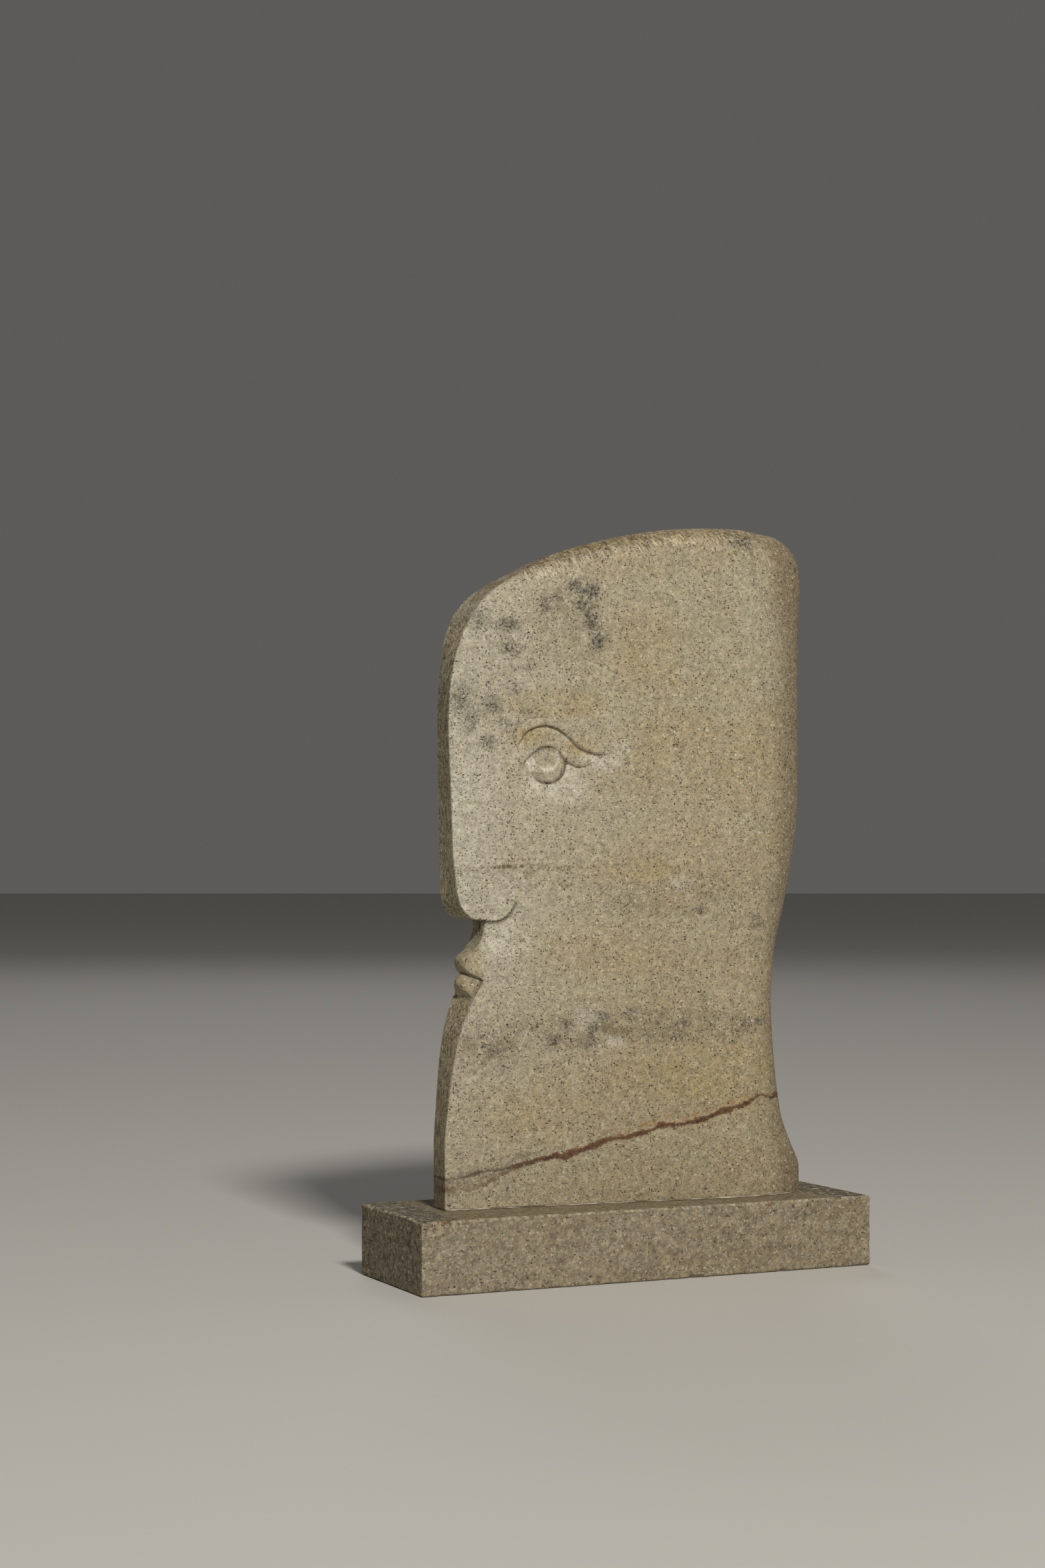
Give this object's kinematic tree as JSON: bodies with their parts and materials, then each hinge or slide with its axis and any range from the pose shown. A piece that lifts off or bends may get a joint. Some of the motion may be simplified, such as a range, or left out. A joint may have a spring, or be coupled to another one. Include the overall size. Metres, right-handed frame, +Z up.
{
  "type": "stone head sculpture",
  "caption": "Head in profile carved from one tapering stone slab, flat-sided with a rounded crown and back, standing on a low rectangular stone plinth.",
  "frame": {"origin": "middle of the plinth's underside", "axes": "+Z up, the face looks along -X, the back of the head is towards +X, and the slab's middle plane is y = 0"},
  "size_m": [0.6, 0.193, 0.9121],
  "materials": {
    "warm_stone": "rubbed, matt sandy stone",
    "grey_stone": "sawn, matt taupe stone",
    "lime_mortar": "matt pale mortar"
  },
  "bodies": {
    "root": {"head": "warm_stone", "mortar_bed": "lime_mortar", "plinth": "grey_stone"}
  },
  "joints": []
}
